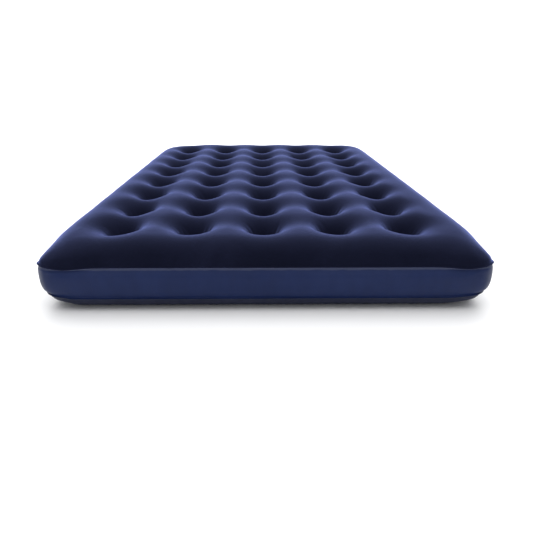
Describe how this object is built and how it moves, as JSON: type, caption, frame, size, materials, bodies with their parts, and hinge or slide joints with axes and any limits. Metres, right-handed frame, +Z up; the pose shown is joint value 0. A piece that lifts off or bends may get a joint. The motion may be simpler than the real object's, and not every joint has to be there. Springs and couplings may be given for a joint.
{
  "type": "air mattress",
  "caption": "Flocked double air mattress: dimpled top and bottom sheets tied together by tubular coils, a welded side band and a screw valve with a hinged port cap.",
  "frame": {"origin": "on the floor under the middle of the inflated envelope", "axes": "+Z up, +Y along the sleeper towards the valve end, +X to the right when looking along +Y"},
  "size_m": [1.37, 1.9229, 0.22],
  "materials": {
    "flocked_sheet": "velvety flocked pile on welded sheet, navy",
    "band_sheet": "smooth semi-gloss soft vinyl sheet, navy",
    "bottom_sheet": "fine-grained soft vinyl sheet, navy",
    "coil_sheet": "translucent vinyl strip, undyed",
    "valve_soft": "soft moulded vinyl, dark navy",
    "valve_rigid": "moulded plastic, near black",
    "seal": "soft grey elastomer"
  },
  "bodies": {
    "mattress": {"top_sheet": "flocked_sheet", "side_band": "band_sheet", "bottom_sheet": "bottom_sheet", "band_splice": "band_sheet", "coil_row_1": "coil_sheet", "coil_row_2": "coil_sheet", "coil_row_3": "coil_sheet", "coil_row_4": "coil_sheet", "coil_row_5": "coil_sheet", "coil_row_6": "coil_sheet", "coil_row_7": "coil_sheet", "coil_row_8": "coil_sheet", "valve_patch": "band_sheet", "valve_base": "valve_soft"},
    "tether": {"insert_tether": "valve_soft"},
    "insert": {"valve_insert": "valve_rigid", "insert_seal": "seal"},
    "cap": {"port_cap": "valve_rigid", "cap_seal": "seal"},
    "flap": {"check_flap": "seal"}
  },
  "joints": [
    {"name": "insert_lift", "type": "slide", "parent": "mattress", "child": "tether", "axis": [0, 1, 0], "range_m": [0, 0.015]},
    {"name": "insert_turn", "type": "hinge", "parent": "tether", "child": "insert", "pos_m": [0.455, 0.9535, 0.101], "axis": [0, 1, 0], "range_deg": [0, 1080]},
    {"name": "port_cap_hinge", "type": "hinge", "parent": "insert", "child": "cap", "pos_m": [0.4755, 0.9657, 0.101], "axis": [0, 0, -1], "range_deg": [0, 160]},
    {"name": "check_flap_hinge", "type": "hinge", "parent": "insert", "child": "flap", "pos_m": [0.4398, 0.9334, 0.101], "axis": [0, 0, -1], "range_deg": [0, 65], "stiffness_Nm_per_rad": 0.0005}
  ],
  "couplings": [
    {"joint": "insert_lift", "follows": "insert_turn", "m_per_rad": 0.00079577}
  ]
}
